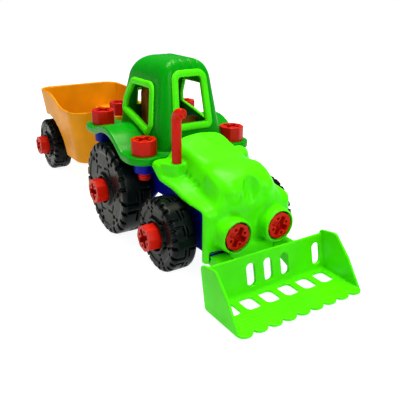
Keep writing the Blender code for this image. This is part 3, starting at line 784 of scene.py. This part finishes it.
def loader():
    half, sheet, teeth = 81.2, 3.0, 9
    back = [(216.3, 44.6, 1.2), (224.6, 1.4, 3), (280, 1.4, 1)]
    back += [(280, 4.2, 1), (228.5, 4.6, 4), (219.3, 44.6, 1.2)]
    side = [(215.3, 48.4, 5), (224.4, 1.3, 4), (280, 1.3, 1.5)]
    side += [(280.5, 5, 2), (262, 31.8, 20), (241.3, 52.9, 7)]
    arm = [(179, 37, 6), (179, 27, 6), (196, 24, 4), (221, 14, 1), (219, 36, 1), (200, 37, 4)]
    parts = [prism("bucket_sheet", rounded(back), "y", -half, half)]
    for sign in SIDES:
        low, high = sorted((sign * (half - sheet), sign * (half + 0.2)))
        parts.append(prism("side_plate", rounded(side), "y", low, high))
        low, high = sorted((sign * ARM_IN, sign * ARM_OUT))
        parts.append(prism("arm", rounded(arm), "y", low, high))
    parts.append(prism("teeth", bucket_lip(half, 2 * half / teeth, teeth), "z", 1.2, 4.4))
    for x in (257.5, 262, 266.5, 271, 275.5):
        ridge = [(x - 0.9, 3.6), (x + 0.9, 3.6), (x, 5.1)]
        parts.append(prism("ridge", ridge, "y", sheet - half, half - sheet))
    bucket = moulded(joined("bucket_moulding", parts), 0.7, 2)
    tools = []
    for y in (-69, -23, 0, 23, 69):
        slot = [(y - 5.5, 11, 5), (y + 5.5, 11, 5), (y + 5.5, 35.5, 5), (y - 5.5, 35.5, 5)]
        tools.append(prism("slot", rounded(slot), "x", 210, 232))
    for y in (-63.5, -38, -12.7, 12.7, 38, 63.5):
        hole = [(232, y - 8.6, 5), (252.8, y - 8.6, 5), (252.8, y + 8.6, 5), (232, y + 8.6, 5)]
        tools.append(prism("floor_hole", rounded(hole), "z", 0, 8))
    tools.append(prism("pin_hole", circle(LIFT_X, LIFT_Z, 3.3, 24), "y", -60, 60))
    combined(bucket, "DIFFERENCE", [joined("bucket_tools", tools)], "MANIFOLD")
    moulded(bucket, 0.7, 1)
    placed(bucket, LIME, "loader", "loader_bucket")


# Trailer --------------------------------------------------------------------------------------------


def tub_ring(z, wall):
    """The tub's outline at a height, or its hollow's when it has a wall; the tub narrows downwards."""
    low = max((TUB_RIM_Z - z) / (TUB_RIM_Z - TUB_BASE_Z), 0)
    half = TUB_HALF - 13.5 * low - wall
    rear, front = TUB_REAR_X + 3 * low + wall, TUB_FRONT_X - 4 * low - wall
    radius = 24 - wall
    corners = [(rear, -half, radius), (front, -half, radius)]
    corners += [(front, half, radius), (rear, half, radius)]
    return [(u, v, z) for u, v in rounded(corners, 14)]


def rim_cutter():
    """What lies above the rim, which drops in an S from the rear to the front."""
    front_z, length, start = 121.0, 55.0, -264.0
    drop = TUB_RIM_Z - front_z
    curve = [(start + length * t, front_z + drop * (0.5 + 0.5 * math.cos(math.pi * t)))
             for t in (i / 24 for i in range(25))]
    outline = [(-340, TUB_RIM_Z), *curve, (-150, front_z), (-150, 160), (-340, 160)]
    return prism("above_rim", outline, "y", -90, 90)


def trailer():
    axle_x, axle_z, arch, well_face = -299.0, 43.0, 54.0, 36.0
    levels = range(50, 139, 8)
    tub = loft("tub_moulding", [tub_ring(z, 0) for z in (TUB_BASE_Z, *levels, 139.5)])
    hollow = loft("tub_hollow", [tub_ring(z, WALL) for z in (TUB_FLOOR_Z, *levels, 145)])
    wells, walls = [], []
    for side in SIDES:
        low, high = sorted((side * (well_face - WALL), side * 95))
        walls.append(prism("well_wall", circle(WELL_X, axle_z, arch + WALL, 96), "y", low, high))
        low, high = sorted((side * well_face, side * 94))
        wells.append(prism("well", circle(WELL_X, axle_z, arch, 96), "y", low, high))
    combined(hollow, "DIFFERENCE", walls)
    combined(tub, "DIFFERENCE", [*wells, hollow, rim_cutter()])
    root_x, neck_x = -168.3, HITCH_X + 15
    plan = rounded([(root_x, -26, 2), (neck_x, -15, 14), (neck_x, 15, 14), (root_x, 26, 2)])
    tube_end = well_face - 0.2
    extra = [prism("axle_tube", circle(axle_x, axle_z, 13.5), "y", -tube_end, tube_end)]
    extra.append(prism("drawbar", plan, "z", HITCH_TOP_Z - 8, HITCH_TOP_Z))
    tub = moulded(joined("tub_moulding", [tub, *extra]), 1.1, 4)
    holes = [prism("axle_hole", circle(axle_x, axle_z, BOLT_HOLE_R, 32), "y", -60, 60)]
    holes.append(prism("hitch_hole", circle(HITCH_X, 0, BOLT_HOLE_R, 32), "z", 100, 130))
    combined(tub, "DIFFERENCE", holes, "MANIFOLD")
    placed(tub, ORANGE, "trailer", "trailer_tub")


# Pieces with the frame's own shape -------------------------------------------------------------------


def eased_copy(node, name, look, voxel, passes):
    """The frame's own shape with its edges eased."""
    piece = linked(name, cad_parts[node].data.copy())
    placed(moulded(piece, voxel, passes), look, "tractor", node)


# Studio ---------------------------------------------------------------------------------------------


def floor():
    """White paper that the lights leave almost without shadow."""
    mesh = bmesh.new()
    bmesh.ops.create_grid(mesh, x_segments=1, y_segments=1, size=60.0)
    made = stored(mesh, "floor")
    made.location.z = -0.0002
    paper = bpy.data.materials.new("white_paper")
    paper.use_nodes = True
    shader = paper.node_tree.nodes["Principled BSDF"]
    shader.inputs["Base Color"].default_value = (0.4, 0.4, 0.4, 1)
    shader.inputs["Roughness"].default_value = 0.9
    shader.inputs["Emission Color"].default_value = (1, 1, 1, 1)
    shader.inputs["Emission Strength"].default_value = 0.93
    made.data.materials.append(paper)


# Name, place and aim in metres, size in metres, power in watts and tint.
SOFTBOXES = (
    ("top_softbox", (-0.1, 0.1, 1.5), (0.0, 0.0, 0.05), 1.0, 40.0, (1.0, 0.93, 0.72)),
    ("front_softbox", (1.3, 0.1, 0.8), (0.05, 0.0, 0.08), 0.9, 11.0, (0.9, 1.0, 0.9)),
    ("side_softbox", (0.2, -1.5, 0.7), (0.0, 0.0, 0.08), 0.8, 2.2, (0.85, 1.0, 1.0)),
)


def studio():
    world = bpy.data.worlds.new("studio")
    world.use_nodes = True
    background = world.node_tree.nodes["Background"]
    background.inputs["Color"].default_value = (0.85, 1, 1, 1)
    background.inputs["Strength"].default_value = 0.17
    bpy.context.scene.world = world
    bpy.context.scene.view_settings.view_transform = "Standard"
    floor()
    for name, place, aim, size, power, tint in SOFTBOXES:
        light = bpy.data.lights.new(name, "AREA")
        light.shape = "DISK"
        light.size = size
        light.energy = power
        light.color = tint
        lamp = linked(name, light)
        lamp.location = place
        lamp.rotation_euler = (Vector(aim) - Vector(place)).to_track_quat("-Z", "Y").to_euler()


def camera():
    """The camera at the photograph's viewing angle, placed in metres and turned in degrees."""
    heading, pitch, roll = (math.radians(angle) for angle in (147.3, -21.9, 0.5))
    made = bpy.data.cameras.new("camera")
    made.sensor_width = 36.0
    made.lens = 48.6
    rig = linked("camera", made)
    rig.location = (0.6385, -0.3363, 0.3064)
    level = math.cos(pitch)
    look = Vector((math.cos(heading) * level, math.sin(heading) * level, math.sin(pitch)))
    aimed = look.to_track_quat("-Z", "Y").to_matrix().to_4x4()
    rig.rotation_euler = (aimed @ Matrix.Rotation(roll, 4, "Z")).to_euler()
    bpy.context.scene.camera = rig


camera()
studio()
cab()
window_frames()
seat()
hood()
exhaust()
loader()
trailer()
wheels()
eased_copy("chassis_frame", "chassis_moulding", BLUE, 0.95, 2)
eased_copy("loader_pin", "pivot_pin", BLUE, 0.5, 2)
eased_copy("hitch_nut", "hitch_nut_moulding", RED, 0.5, 2)
bolts()
